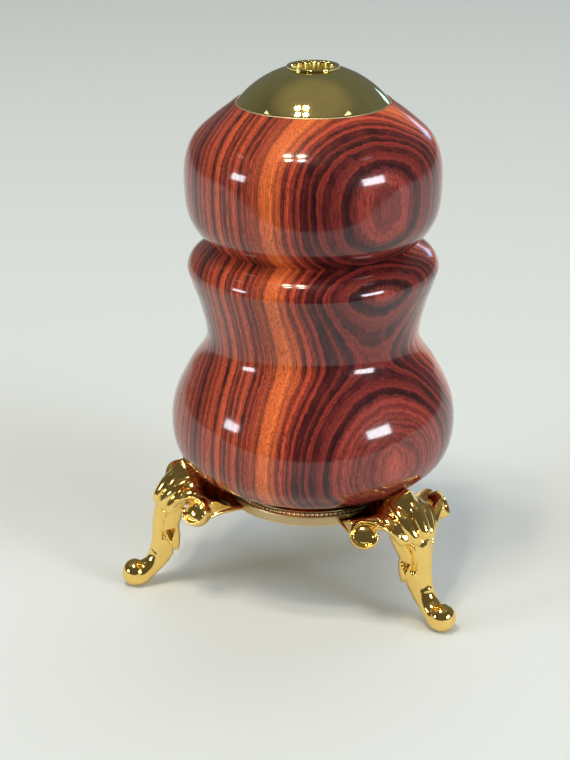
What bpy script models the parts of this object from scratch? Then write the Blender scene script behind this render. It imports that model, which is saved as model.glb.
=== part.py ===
"""Dip pen holder: a turned hardwood body with a brass dome and a fluted pen bush, on a cast
tripod stand.

Lengths in the constants are millimetres. The origin is on the surface that the feet stand on,
in the middle of the space that the object takes up, with +Z up. One leg points along +Y and
the other two point forward, so the wood's axis is a little in front of the origin.
"""

import math

import bmesh
import bpy
from mathutils import Matrix, Vector

MM = 0.001  # metres in a millimetre
AXIS_Y = -5.4  # the wood's axis
GAP = 0.3  # clearance between pieces that seat on each other
ROUND_STEPS = 40  # sides of the large turned pieces
SMALL_STEPS = 20  # sides of the small ones
CLOSE_POINTS = 3.4  # a point of the wood's outline is left out if its neighbours are this close

# Wood, as (radius, height) stations of its turned outline. The outline is smooth between its
# ends and has a sharp V groove where the two lists meet.
GROOVE = (19.0, 67.8)
WAIST_AND_LOWER_BULB = (
    (14.0, 18.95),
    (18.4, 21.05),
    (22.8, 23.5),
    (25.9, 27.1),
    (27.0, 32.1),
    (26.3, 37.6),
    (23.4, 43.5),
    (20.7, 47.5),
    (20.0, 50.3),
    (21.2, 56.1),
    (22.9, 61.1),
    (23.4, 63.3),
    (22.3, 65.5),
    GROOVE,
)
UPPER_BULB = (
    GROOVE,
    (21.3, 70.1),
    (23.1, 73.5),
    (23.7, 78.6),
    (23.4, 83.6),
    (21.9, 87.3),
    (18.6, 90.5),
    (14.35, 94.0),
)
CAP_SEAT_Z = 93.1
SPIGOT_RADIUS = 4.3
SPIGOT_Z = 17.2
BORE_RADIUS = 4.65
BORE_FLOOR_Z = 34.0
PILOT_RADIUS = 1.9
PILOT_TOP_Z = 31.0

# Brass dome: part of a sphere.
DOME_RADIUS = 17.8
DOME_RIM_RADIUS = 13.95
DOME_RIM_Z = 93.7
DOME_EDGE = 0.3
DOME_WALL = 1.0
DOME_HOLE_RADIUS = 4.5

# Fluted bush, whose lip holds the dome down, and the tube and pad below it in the bore.
BUSH_TOP_Z = 100.25
BUSH_BOTTOM_Z = 81.0
BUSH_RADIUS = 4.35
BUSH_LIP_RADIUS = 4.8
BUSH_LIP_HEIGHT = 0.27
BUSH_MOUTH_RADIUS = 4.1
FLUTES = 18
FLUTE_CREST_RADIUS = 3.6
FLUTE_ROOT_RADIUS = 3.95
FLUTE_DEPTH = 9.0
LINER_INNER_RADIUS = 3.9
PAD_HEIGHT = 2.7

# Stand ring: a band with a raised plate inside it, and a channel between the two.
RING_RADIUS = 16.1
RING_BOTTOM_Z = 16.35
RING_TOP_Z = 18.35
RING_BAND = 1.1
RING_HOLE_RADIUS = 4.6
PLATE_BOTTOM_Z = 17.15
PLATE_TOP_Z = 18.6
CHANNEL_WIDTH = 0.6
CHANNEL_Z = 17.6

# Fasteners under the stand.
WASHER_RADIUS = 9.0
WASHER_HEIGHT = 1.0
WOOD_SCREW_RADIUS = 1.6
WOOD_SCREW_HEAD_RADIUS = 3.4
WOOD_SCREW_HEAD_HEIGHT = 2.0
LEG_SCREW_FROM_AXIS = 12.6
LEG_SCREW_RADIUS = 0.95
LEG_SCREW_HEAD_RADIUS = 1.9
LEG_SCREW_HEAD_HEIGHT = 1.2
SCREW_SLOT_WIDTH = 0.7
SCREW_SLOT_DEPTH = 0.6

# Legs. A leg is modelled pointing along +X, with +Y to its side, and is turned into place.
LEG_ANGLES = {"leg_back": 90.0, "leg_front_left": 210.0, "leg_front_right": 330.0}
LUG_TOP_Z = PLATE_BOTTOM_Z - GAP
LUG_HEIGHT = 0.75
LUG_INNER = 10.0
LUG_OUTER = 20.0
LUG_HALF_WIDTH = 2.7

# Knee of the leg: (angle from the leg's middle plane in degrees, share of the way from the
# middle section to the flange's section).
KNEE_FANS = ((0, 0.0), (4, 0.20), (8, 0.54), (12, 0.78), (18, 0.95), (26, 1.0))
KNEE_MIDDLE = (
    (16.45, 16.35),
    (16.45, 19.6),
    (21.0, 23.4),
    (25.6, 25.5),
    (28.2, 22.9),
    (29.6, 19.9),
    (30.2, 17.6),
    (29.0, 16.2),
    (26.6, 16.2),
    (24.0, 17.4),
    (20.0, 17.4),
)
KNEE_SIDE = (
    (16.45, 17.8),
    (16.45, 18.6),
    (19.2, 19.0),
    (21.6, 19.8),
    (23.0, 20.8),
    (24.2, 20.9),
    (24.9, 19.8),
    (24.6, 18.9),
    (23.2, 18.4),
    (21.4, 18.2),
    (18.6, 18.0),
)

# Lobes of the leaf as (x, y, z, half width, half thickness), from the wood to the tip.
MIDDLE_LOBE = (
    (24.8, 0.0, 24.2, 0.9, 0.5),
    (28.2, 0.0, 21.8, 1.45, 1.1),
    (30.2, 0.0, 18.6, 1.3, 1.2),
    (30.8, 0.0, 17.0, 0.5, 0.6),
)
INNER_LOBE = (
    (24.2, 2.9, 23.0, 0.8, 0.5),
    (27.6, 2.75, 20.8, 1.4, 1.0),
    (29.6, 2.0, 17.8, 1.2, 1.1),
    (30.1, 1.6, 16.2, 0.5, 0.6),
)
OUTER_LOBE = (
    (23.2, 5.3, 21.6, 0.8, 0.5),
    (26.6, 4.9, 19.7, 1.5, 0.9),
    (28.6, 3.6, 17.3, 1.3, 1.0),
    (29.2, 2.8, 15.6, 0.5, 0.6),
)
KNEE_BEND = (22.0, 15.0)  # (x, z) of the line that the lobes' surface bends round

# Shank and foot: (distance from the axis, height, half width, half depth) down the leg.
SHANK = (
    (26.9, 18.4, 3.4, 1.7),
    (28.4, 16.2, 3.0, 1.9),
    (28.95, 13.8, 2.6, 1.95),
    (29.2, 11.4, 2.35, 1.95),
    (29.35, 9.0, 2.2, 1.95),
    (29.9, 6.7, 2.1, 1.95),
    (31.3, 4.7, 2.1, 1.95),
    (33.0, 3.2, 2.4, 2.2),
    (34.8, 2.42, 2.8, 2.75),
    (36.3, 2.32, 2.65, 2.6),
    (37.35, 2.45, 2.0, 1.9),
    (37.9, 2.45, 0.9, 0.8),
)
SHANK_SIDES = 12
SHANK_KEEL = 0.35  # how far the front ridge stands out, as a share of the half depth
SHANK_SQUARENESS = 0.72  # power of the section's ellipse above the foot
FOOT_Z = 4.0

# Forms on each side of the leg, as stations of (x, y, z, half width, half thickness).
BROAD_BLADE = (
    (27.2, 4.7, 18.3, 1.3, 0.8),
    (28.2, 3.5, 16.0, 1.9, 0.9),
    (28.7, 2.6, 13.4, 1.9, 0.9),
    (28.3, 2.6, 11.0, 1.65, 0.9),
    (27.8, 2.5, 9.3, 1.1, 0.8),
    (27.4, 2.4, 7.8, 0.35, 0.4),
)
SMALL_BLADE = (
    (29.8, 2.0, 11.4, 1.0, 0.5),
    (29.5, 1.8, 9.4, 1.3, 0.7),
    (28.9, 1.7, 7.7, 1.0, 0.7),
    (28.3, 1.6, 6.3, 0.3, 0.3),
)
FLANGE_RIM = (
    (15.3, 7.3, 18.3, 0.45, 0.45),
    (18.4, 8.9, 18.6, 0.45, 0.45),
    (21.3, 10.1, 18.3, 0.50, 0.50),
    (23.2, 11.0, 16.8, 0.55, 0.55),
)
# The scroll's rim rises from the shank's front, then curls round a button.
SCROLL_RIM = (
    (28.8, 3.0, 15.4, 0.40, 0.40),
    (28.4, 4.3, 17.5, 0.75, 0.60),
    (27.5, 5.9, 19.4, 0.95, 0.60),
    (26.2, 7.7, 20.7, 1.15, 0.55),
)
VOLUTE_CENTRE = (24.6, 9.7, 18.7)
VOLUTE_FACING = 42.0  # degrees from the leg's own direction towards its side
VOLUTE_START = 100.0  # degrees
VOLUTE_TURN = 290.0
VOLUTE_STEPS = 8
VOLUTE_RADIUS = 2.6
VOLUTE_END_RADIUS = 2.2
VOLUTE_BAND = (1.25, 0.55)  # half width and half thickness of the band that curls
VOLUTE_HEIGHT = 0.94  # the scroll's height as a share of its width
BUTTON_RADIUS = 2.0
BUTTON_SIDES = 10
# Outline of the button, as (distance towards the viewer, share of its radius).
BUTTON = ((-0.9, 1.0), (0.5, 1.0), (1.2, 0.5))


def smooth_through(stations, per_span):
    """Points on a smooth curve through the stations, with its tangents from their neighbours."""
    points = [Vector(station) for station in stations]
    tangents = []
    for i, here in enumerate(points):
        before = points[max(i - 1, 0)]
        after = points[min(i + 1, len(points) - 1)]
        tangents.append((after - before) / ((here - before).length + (after - here).length))
    curve = []
    for start, end, leaving, arriving in zip(points, points[1:], tangents, tangents[1:]):
        chord = (end - start).length
        for step in range(per_span):
            t = step / per_span
            bend = leaving * (t - 2 * t**2 + t**3) + arriving * (t**3 - t**2)
            curve.append(start.lerp(end, 3 * t**2 - 2 * t**3) + bend * chord)
    return curve + [points[-1]]


def arc(centre, radius, start, end, steps):
    """Points of an arc in the (radius, height) plane, from the angle start to end in degrees."""
    angles = (math.radians(start + (end - start) * i / steps) for i in range(steps + 1))
    return [(centre[0] + radius * math.cos(a), centre[1] + radius * math.sin(a)) for a in angles]


def new_object(name, bm, smooth_angle=35):
    """A smooth-shaded object of a bmesh whose lengths are millimetres."""
    bmesh.ops.remove_doubles(bm, verts=bm.verts, dist=1e-4)
    bmesh.ops.recalc_face_normals(bm, faces=bm.faces)
    bmesh.ops.scale(bm, vec=(MM, MM, MM), verts=bm.verts)
    mesh = bpy.data.meshes.new(name)
    bm.to_mesh(mesh)
    bm.free()
    mesh.shade_smooth()
    mesh.set_sharp_from_angle(angle=math.radians(smooth_angle))
    obj = bpy.data.objects.new(name, mesh)
    bpy.context.scene.collection.objects.link(obj)
    return obj


def turned(name, outline, steps=ROUND_STEPS):
    """A closed (radius, height) outline turned about the Z axis."""
    bm = bmesh.new()
    verts = [bm.verts.new((r, 0, z)) for r, z in outline]
    edges = [bm.edges.new(pair) for pair in zip(verts, verts[1:] + verts[:1])]
    bmesh.ops.spin(
        bm,
        geom=verts + edges,
        axis=(0, 0, 1),
        cent=(0, 0, 0),
        angle=math.tau,
        steps=steps,
        use_merge=True,
    )
    return new_object(name, bm)


def lofted(name, sections, closed=False):
    """A solid skinned over sections of equal length: with end caps or, if closed, as a loop."""
    bm = bmesh.new()
    rings = [[bm.verts.new(point) for point in section] for section in sections]
    for ring, after in zip(rings, rings[1:] + rings[:1] if closed else rings[1:]):
        for i in range(len(ring)):
            bm.faces.new((ring[i - 1], ring[i], after[i], after[i - 1]))
    if not closed:
        bm.faces.new(rings[0])
        bm.faces.new(rings[-1])
    return new_object(name, bm)


def prism(name, corners, bottom, top):
    """A straight prism over flat corners."""
    return lofted(name, [[(x, y, z) for x, y in corners] for z in (bottom, top)])


def circle(radius, sides, centre=(0, 0)):
    """Corners of a regular polygon in the XY plane."""
    angles = (math.tau * i / sides for i in range(sides))
    return [(centre[0] + radius * math.cos(a), centre[1] + radius * math.sin(a)) for a in angles]


def swept(name, stations, facing, sides=6, per_span=1):
    """A solid of elliptic section through stations of (x, y, z, half width, half thickness).
    facing(point) is the direction that its thickness is measured in."""
    stations = smooth_through(stations, per_span)
    path = [Vector(station[:3]) for station in stations]
    sections = []
    for i, (point, station) in enumerate(zip(path, stations)):
        along = (path[min(i + 1, len(path) - 1)] - path[max(i - 1, 0)]).normalized()
        out = facing(point)
        out = (out - along * out.dot(along)).normalized()
        across = along.cross(out)
        section = []
        for k in range(sides):
            angle = math.tau * k / sides
            offset = across * math.cos(angle) * station[3] + out * math.sin(angle) * station[4]
            section.append(point + offset)
        sections.append(section)
    return lofted(name, sections)


def combined(obj, others, operation):
    """Adds a Boolean to obj for each of the others, which become hidden helpers under it."""
    for other in others:
        modifier = obj.modifiers.new(other.name, "BOOLEAN")
        modifier.object = other
        modifier.operation = operation
        modifier.solver = "EXACT"
        other.parent = obj
        other.hide_render = True
        other.display_type = "WIRE"
    return obj


def baked_mesh(obj, helpers, smooth_angle=35):
    """The mesh of obj with its modifiers applied; obj and the helpers are removed."""
    graph = bpy.context.evaluated_depsgraph_get()
    mesh = bpy.data.meshes.new_from_object(obj.evaluated_get(graph))
    mesh.shade_smooth()
    mesh.set_sharp_from_angle(angle=math.radians(smooth_angle))
    for used in [obj, *helpers]:
        bpy.data.objects.remove(used)
    return mesh


def material(name, colour, roughness, metallic):
    """A plain Principled material."""
    made = bpy.data.materials.new(name)
    made.use_nodes = True
    shader = made.node_tree.nodes["Principled BSDF"]
    shader.inputs["Base Color"].default_value = (*colour, 1)
    shader.inputs["Roughness"].default_value = roughness
    shader.inputs["Metallic"].default_value = metallic
    return made


def finish(obj, made_of, parent):
    """Gives a piece its material and its parent."""
    obj.data.materials.clear()
    obj.data.materials.append(made_of)
    obj.parent = parent
    return obj


def wood_outline():
    """The turned outside of the wood, from its underside to the rim round the dome."""
    lower = smooth_through(WAIST_AND_LOWER_BULB, 2)
    upper = smooth_through(UPPER_BULB, 2)
    outline = [lower[0]]
    for point, after in zip(lower[1:], lower[2:] + upper[:1]):
        if (point - outline[-1]).length + (after - point).length > CLOSE_POINTS:
            outline.append(point)
    return [tuple(point) for point in outline + upper]


def wood_body():
    """The turned body: one block with a pen bore, a seat for the dome and a spigot below."""
    outside = wood_outline()
    rim_radius = outside[-1][0]
    inside = [
        (rim_radius, CAP_SEAT_Z),
        (BORE_RADIUS, CAP_SEAT_Z),
        (BORE_RADIUS, BORE_FLOOR_Z),
        (0, BORE_FLOOR_Z),
        (0, PILOT_TOP_Z),
        (PILOT_RADIUS, PILOT_TOP_Z - PILOT_RADIUS),
        (PILOT_RADIUS, SPIGOT_Z),
        (SPIGOT_RADIUS, SPIGOT_Z),
        (SPIGOT_RADIUS, outside[0][1]),
    ]
    return turned("wood_body", outside + inside)


def brass_dome():
    """The spun dome, a shell with a rolled edge that drops into the wood's seat."""
    centre_z = DOME_RIM_Z - math.sqrt(DOME_RADIUS**2 - DOME_RIM_RADIUS**2)
    inner_radius = DOME_RADIUS - DOME_WALL
    outer_start = math.degrees(math.acos(DOME_RIM_RADIUS / DOME_RADIUS))
    outer_end = math.degrees(math.acos(DOME_HOLE_RADIUS / DOME_RADIUS))
    inner_start = math.degrees(math.asin((DOME_RIM_Z + DOME_EDGE - centre_z) / inner_radius))
    inner_end = math.degrees(math.acos(DOME_HOLE_RADIUS / inner_radius))
    outer = arc((0, centre_z), DOME_RADIUS, outer_start, outer_end, 7)
    inner = arc((0, centre_z), inner_radius, inner_end, inner_start, 3)
    edge = [(inner[-1][0], DOME_RIM_Z - DOME_EDGE), (DOME_RIM_RADIUS, DOME_RIM_Z - DOME_EDGE)]
    return turned("brass_dome", outer + inner + edge)


def fluted_ring(crest, root, height):
    """A level ring of points that alternates between flute crests and roots."""
    ring = []
    for i in range(FLUTES * 3):
        angle = math.tau * i / (FLUTES * 3)
        radius = root if i % 3 == 0 else crest
        ring.append((radius * math.cos(angle), radius * math.sin(angle), height))
    return ring


def pen_bush():
    """The bush that grips the pen: a lip over the dome's hole, a neck, and a fluted bore."""
    lip_z = BUSH_TOP_Z - BUSH_LIP_HEIGHT
    flute_end = BUSH_TOP_Z - FLUTE_DEPTH
    chamfer = BUSH_LIP_HEIGHT / 2
    plain = (
        (LINER_INNER_RADIUS, BUSH_BOTTOM_Z),
        (BUSH_RADIUS, BUSH_BOTTOM_Z),
        (BUSH_RADIUS, lip_z),
        (BUSH_LIP_RADIUS, lip_z),
        (BUSH_LIP_RADIUS, BUSH_TOP_Z - chamfer),
        (BUSH_LIP_RADIUS - chamfer, BUSH_TOP_Z),
        (BUSH_MOUTH_RADIUS, BUSH_TOP_Z),
    )
    rings = [fluted_ring(radius, radius, height) for radius, height in plain]
    for height in (BUSH_TOP_Z - 2 * chamfer, flute_end):
        rings.append(fluted_ring(FLUTE_CREST_RADIUS, FLUTE_ROOT_RADIUS, height))
    rings.append(fluted_ring(LINER_INNER_RADIUS, LINER_INNER_RADIUS, flute_end - chamfer))
    return lofted("pen_bush", rings, closed=True)


def liner_tube():
    """The thin tube that lines the bore below the bush."""
    bottom = BORE_FLOOR_Z + GAP + PAD_HEIGHT + GAP
    top = BUSH_BOTTOM_Z - GAP
    outline = [
        (LINER_INNER_RADIUS, bottom),
        (BUSH_RADIUS, bottom),
        (BUSH_RADIUS, top),
        (LINER_INNER_RADIUS, top),
    ]
    return turned("liner_tube", outline, SMALL_STEPS)


def nib_pad():
    """The soft disc at the foot of the bore that the pen stands on."""
    bottom = BORE_FLOOR_Z + GAP
    outline = [
        (0, bottom),
        (BUSH_RADIUS, bottom),
        (BUSH_RADIUS, bottom + PAD_HEIGHT - 0.4),
        (BUSH_RADIUS - 0.4, bottom + PAD_HEIGHT),
        (0, bottom + PAD_HEIGHT),
    ]
    return turned("nib_pad", outline, SMALL_STEPS)


def stand_ring():
    """The ring of the stand, with a hole in its plate and a notch in its band for each leg."""
    inner = RING_RADIUS - RING_BAND
    bevel = RING_BAND / 3
    outline = [
        (RING_HOLE_RADIUS, PLATE_BOTTOM_Z),
        (inner, PLATE_BOTTOM_Z),
        (inner, RING_BOTTOM_Z),
        (RING_RADIUS, RING_BOTTOM_Z),
        (RING_RADIUS, RING_TOP_Z - bevel),
        (RING_RADIUS - bevel, RING_TOP_Z),
        (inner, RING_TOP_Z),
        (inner, CHANNEL_Z),
        (inner - CHANNEL_WIDTH, CHANNEL_Z),
        (inner - CHANNEL_WIDTH, PLATE_TOP_Z),
        (RING_HOLE_RADIUS, PLATE_TOP_Z),
    ]
    ring = turned("stand_ring", outline)
    half = LUG_HALF_WIDTH + GAP
    notch_corners = [(inner - GAP, -half), (LUG_OUTER, -half), (LUG_OUTER, half), (inner - GAP, half)]
    cutters = []
    for leg, angle in LEG_ANGLES.items():
        corners = circle(LEG_SCREW_RADIUS + GAP, 12, (LEG_SCREW_FROM_AXIS, 0))
        hole = prism(f"{leg}_ring_hole", corners, PLATE_BOTTOM_Z - 1, PLATE_TOP_Z + 1)
        notch = prism(f"{leg}_notch", notch_corners, RING_BOTTOM_Z - 1, PLATE_BOTTOM_Z)
        for cutter in (hole, notch):
            cutter.rotation_euler = (0, 0, math.radians(angle))
            cutters.append(cutter)
    return combined(ring, cutters, "DIFFERENCE")


def knee():
    """The broad top of the leg: radial sections that fan out from its middle to two flanges."""
    sections = []
    for angle, share in [(-angle, share) for angle, share in KNEE_FANS[:0:-1]] + list(KNEE_FANS):
        turn = math.radians(angle)
        section = []
        for middle, side in zip(KNEE_MIDDLE, KNEE_SIDE):
            radius = middle[0] + (side[0] - middle[0]) * share
            height = middle[1] + (side[1] - middle[1]) * share
            section.append((radius * math.cos(turn), radius * math.sin(turn), height))
        sections.append(section)
    return lofted("knee", sections)


def lobe(name, stations):
    """One finger of the knee's leaf."""
    return swept(name, stations, from_knee)


def from_knee(point):
    """Outward from the line that the lobes' surface bends round."""
    return point - Vector((KNEE_BEND[0], point.y * 0.4, KNEE_BEND[1]))


def shank():
    """The shank and foot: an S-shaped loft with a keel down its front."""
    stations = smooth_through(SHANK, 1)
    path = [Vector((station[0], 0, station[1])) for station in stations]
    sections = []
    for i, station in enumerate(stations):
        along = (path[min(i + 1, len(path) - 1)] - path[max(i - 1, 0)]).normalized()
        outward = Vector((0, 1, 0)).cross(along)
        keel, power = (SHANK_KEEL, SHANK_SQUARENESS) if station[1] > FOOT_Z else (0, 1)
        section = []
        for k in range(SHANK_SIDES):
            angle = math.tau * k / SHANK_SIDES
            c, s = math.cos(angle), math.sin(angle)
            depth = math.copysign(abs(c) ** power, c) * station[3] * (1 + keel * max(0, c) ** 6)
            width = math.copysign(abs(s) ** power, s) * station[2]
            section.append(path[i] - outward * depth + Vector((0, width, 0)))
        sections.append(section)
    return lofted("shank", sections)


def mirrored(stations, side):
    """The stations on one side of the leg; side is 1 or -1."""
    return [(x, side * y, *rest) for x, y, *rest in stations]


def blades(side):
    """The two leaves that lie along one side of the shank and end in points."""
    outward = Vector((0.35, side, 0))
    broad = swept(f"broad_blade_{side}", mirrored(BROAD_BLADE, side), lambda point: outward)
    small = swept(f"small_blade_{side}", mirrored(SMALL_BLADE, side), lambda point: outward)
    return [broad, small]


def flange_rim(side):
    """The bead along the flange's lower edge, down to the scroll."""
    return swept(f"flange_rim_{side}", mirrored(FLANGE_RIM, side), lambda point: Vector((0, 0, 1)))


def scroll(side):
    """The rim that rises from the shank and curls into a volute, and the button in its eye."""
    x, y, z = VOLUTE_CENTRE
    centre = Vector((x, side * y, z))
    turn = math.radians(VOLUTE_FACING)
    facing = Vector((math.cos(turn), side * math.sin(turn), 0))
    level = Vector((-math.sin(turn), side * math.cos(turn), 0))
    up = Vector((0, 0, VOLUTE_HEIGHT))
    curl = []
    for i in range(VOLUTE_STEPS + 1):
        share = i / VOLUTE_STEPS
        angle = math.radians(VOLUTE_START - VOLUTE_TURN * share)
        radius = VOLUTE_RADIUS + (VOLUTE_END_RADIUS - VOLUTE_RADIUS) * share
        offset = level * math.cos(angle) + up * math.sin(angle)
        curl.append((*(centre + offset * radius), *VOLUTE_BAND))
    path = mirrored(SCROLL_RIM, side) + curl
    band = swept(f"scroll_{side}", path, lambda point: facing.cross(point - centre).cross(facing))
    button = []
    for reach, share in BUTTON:
        ring = circle(BUTTON_RADIUS * share, BUTTON_SIDES)
        button.append([centre + facing * reach + level * a + up * b for a, b in ring])
    return [band, lofted(f"button_{side}", button)]


def leg_lug():
    """The tab that reaches in under the ring's plate and takes the screw."""
    half = LUG_HALF_WIDTH
    nose = [(LUG_INNER + half * (1 - math.cos(a)), half * math.sin(a)) for a in (0.0, 0.6, 1.2)]
    upper = nose + [(LUG_OUTER, half)]
    corners = [(x, -y) for x, y in reversed(upper)] + upper[1:]
    return prism("lug", corners, LUG_TOP_Z - LUG_HEIGHT, LUG_TOP_Z)


def wood_clearance():
    """The wood's outside grown by the seating gap, which shapes the top of each leg."""
    outside = [(radius + GAP * 1.3, height) for radius, height in wood_outline() if height < 50]
    top = outside[-1][1]
    bottom = outside[0][1] - GAP * 1.3
    return turned("wood_clearance", [(0, bottom), (outside[0][0], bottom), *outside, (0, top)])


def leg_mesh():
    """One cast leg, pointing along +X."""
    body = knee()
    parts = [shank(), leg_lug(), lobe("middle_lobe", MIDDLE_LOBE)]
    for side in (-1, 1):
        parts.append(lobe(f"inner_lobe_{side}", mirrored(INNER_LOBE, side)))
        parts.append(lobe(f"outer_lobe_{side}", mirrored(OUTER_LOBE, side)))
        parts += [*blades(side), flange_rim(side), *scroll(side)]
    combined(body, parts, "UNION")
    hole_corners = circle(LEG_SCREW_RADIUS + GAP, 12, (LEG_SCREW_FROM_AXIS, 0))
    hole = prism("lug_hole", hole_corners, LUG_TOP_Z - 4, LUG_TOP_Z + 1)
    floor = prism("floor", [(20, -10), (45, -10), (45, 10), (20, 10)], -5, 0)
    ring = prism("ring_clearance", circle(RING_RADIUS + GAP, 96), LUG_TOP_Z, RING_TOP_Z + 3)
    cutters = [wood_clearance(), ring, hole, floor]
    combined(body, cutters, "DIFFERENCE")
    return baked_mesh(body, parts + cutters)


def screw_outline(head_radius, head_height, shank_radius, bottom, top):
    """A pan-head screw that points up, as a turned outline."""
    shoulder = bottom + head_height
    return [
        (0, bottom),
        (head_radius * 0.75, bottom),
        (head_radius, bottom + head_height * 0.45),
        (head_radius, shoulder),
        (shank_radius, shoulder),
        (shank_radius, top - shank_radius),
        (shank_radius * 0.15, top),
        (0, top),
    ]


def slotted(screw, head_radius, bottom, turn=0.0):
    """Cuts the driver slot across a screw's head, which faces down."""
    half = SCREW_SLOT_WIDTH / 2
    reach = head_radius + 1
    corners = [(-reach, -half), (reach, -half), (reach, half), (-reach, half)]
    slot = prism(f"{screw.name}_slot", corners, bottom - 1, bottom + SCREW_SLOT_DEPTH)
    slot.rotation_euler = (0, 0, turn)
    combined(screw, [slot], "DIFFERENCE")
    return baked_mesh(screw, [slot])


def build():
    """Makes every piece of the pen holder."""
    for old in list(bpy.data.objects):
        bpy.data.objects.remove(old)
    wood = material("oiled_rosewood", (0.30, 0.085, 0.045), 0.18, 0.0)
    brass = material("polished_brass", (0.74, 0.60, 0.24), 0.12, 1.0)
    gold = material("gold_plate", (0.95, 0.68, 0.24), 0.12, 1.0)
    steel = material("zinc_steel", (0.62, 0.62, 0.60), 0.30, 1.0)
    felt = material("green_felt", (0.06, 0.14, 0.09), 0.95, 0.0)
    holder = bpy.data.objects.new("pen_holder", None)
    holder.location = (0, AXIS_Y * MM, 0)
    bpy.context.scene.collection.objects.link(holder)

    finish(wood_body(), wood, holder)
    finish(brass_dome(), brass, holder)
    finish(pen_bush(), brass, holder)
    finish(liner_tube(), brass, holder)
    finish(nib_pad(), felt, holder)
    finish(stand_ring(), gold, holder)

    washer_top = PLATE_BOTTOM_Z - GAP
    washer_bottom = washer_top - WASHER_HEIGHT
    hole = WOOD_SCREW_RADIUS + GAP
    washer_outline = [
        (hole, washer_bottom),
        (WASHER_RADIUS, washer_bottom),
        (WASHER_RADIUS, washer_top),
        (hole, washer_top),
    ]
    finish(turned("clamp_washer", washer_outline, SMALL_STEPS), steel, holder)

    head_bottom = washer_bottom - GAP - WOOD_SCREW_HEAD_HEIGHT
    outline = screw_outline(
        WOOD_SCREW_HEAD_RADIUS, WOOD_SCREW_HEAD_HEIGHT, WOOD_SCREW_RADIUS, head_bottom, 29.0
    )
    screw = turned("centre_screw", outline, SMALL_STEPS)
    screw_mesh = slotted(screw, WOOD_SCREW_HEAD_RADIUS, head_bottom, turn=0.4)
    screw = bpy.data.objects.new("centre_screw", screw_mesh)
    bpy.context.scene.collection.objects.link(screw)
    finish(screw, steel, holder)

    leg = leg_mesh()
    head_bottom = LUG_TOP_Z - LUG_HEIGHT - GAP - LEG_SCREW_HEAD_HEIGHT
    outline = screw_outline(
        LEG_SCREW_HEAD_RADIUS, LEG_SCREW_HEAD_HEIGHT, LEG_SCREW_RADIUS, head_bottom, PLATE_TOP_Z
    )
    leg_screw = slotted(turned("leg_screw", outline, 16), LEG_SCREW_HEAD_RADIUS, head_bottom)
    for name, angle in LEG_ANGLES.items():
        turn = math.radians(angle)
        piece = bpy.data.objects.new(name, leg)
        piece.rotation_euler = (0, 0, turn)
        bpy.context.scene.collection.objects.link(piece)
        finish(piece, gold, holder)
        screw = bpy.data.objects.new(name.replace("leg_", "leg_screw_"), leg_screw)
        screw.location = Matrix.Rotation(turn, 3, "Z") @ Vector((LEG_SCREW_FROM_AXIS * MM, 0, 0))
        bpy.context.scene.collection.objects.link(screw)
        finish(screw, steel, holder)


build()
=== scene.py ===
"""Looks of the dip pen holder: polished rosewood, a brass dome with a fluted bush, and a cast
gold-plated tripod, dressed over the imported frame.

Shapes are made in millimetres round the wood's own axis, with heights from the floor, and are
turned into metres in the frame's place by new_object. A material works in the same millimetres.
"""

import math

import bmesh
import bpy
from mathutils import Matrix, Vector


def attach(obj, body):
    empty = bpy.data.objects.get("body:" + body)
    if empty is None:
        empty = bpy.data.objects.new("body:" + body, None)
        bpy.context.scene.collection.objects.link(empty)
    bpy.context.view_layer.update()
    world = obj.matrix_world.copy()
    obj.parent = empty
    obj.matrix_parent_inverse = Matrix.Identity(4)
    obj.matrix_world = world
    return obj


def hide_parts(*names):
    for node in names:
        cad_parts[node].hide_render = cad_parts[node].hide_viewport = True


MM = 0.001  # metres in a millimetre
AXIS_Y = -5.4  # the wood's axis, in front of the frame's origin
GAP = 0.3  # clearance between pieces that seat on each other

# Wood, as (radius, height) stations of its turned outline, which has a sharp V groove.
GROOVE = (19.0, 67.8)
WAIST_AND_LOWER_BULB = (
    (14.0, 18.95),
    (18.4, 21.05),
    (22.8, 23.5),
    (25.9, 27.1),
    (27.0, 32.1),
    (26.3, 37.6),
    (23.4, 43.5),
    (20.7, 47.5),
    (20.0, 50.3),
    (21.2, 56.1),
    (22.9, 61.1),
    (23.4, 63.3),
    (22.3, 65.5),
    GROOVE,
)
UPPER_BULB = (
    GROOVE,
    (21.3, 70.1),
    (23.1, 73.5),
    (23.7, 78.6),
    (23.4, 83.6),
    (21.9, 87.3),
    (18.6, 90.5),
    (14.42, 93.7),
)
WOOD_WIDEST = 27.0
CAP_SEAT_Z = 93.1
SPIGOT_RADIUS = 4.3
SPIGOT_Z = 17.2
BORE_RADIUS = 4.65
BORE_FLOOR_Z = 34.0
PILOT_RADIUS = 1.9
PILOT_TOP_Z = 31.0

# Brass dome and the fluted bush in it.
DOME_RADIUS = 17.8
DOME_RIM_RADIUS = 13.95
DOME_RIM_Z = 93.7
DOME_EDGE = 0.24  # radius of the bright rolled edge
DOME_EDGE_RADIUS = 14.25
DOME_FACE_RADIUS = 13.85  # where the edge leaves the dome's face
DOME_WALL = 1.0
DOME_HOLE_RADIUS = 4.5
BUSH_TOP_Z = 100.25
BUSH_BOTTOM_Z = 81.0
BUSH_RADIUS = 4.35
BUSH_LIP_RADIUS = 4.8
BUSH_LIP_HEIGHT = 0.42
BUSH_MOUTH_RADIUS = 4.22
FLUTES = 18
FLUTE_CREST_RADIUS = 3.75
FLUTE_ROOT_RADIUS = 4.15
FLUTE_DEPTH = 9.0
LINER_INNER_RADIUS = 3.9

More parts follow.
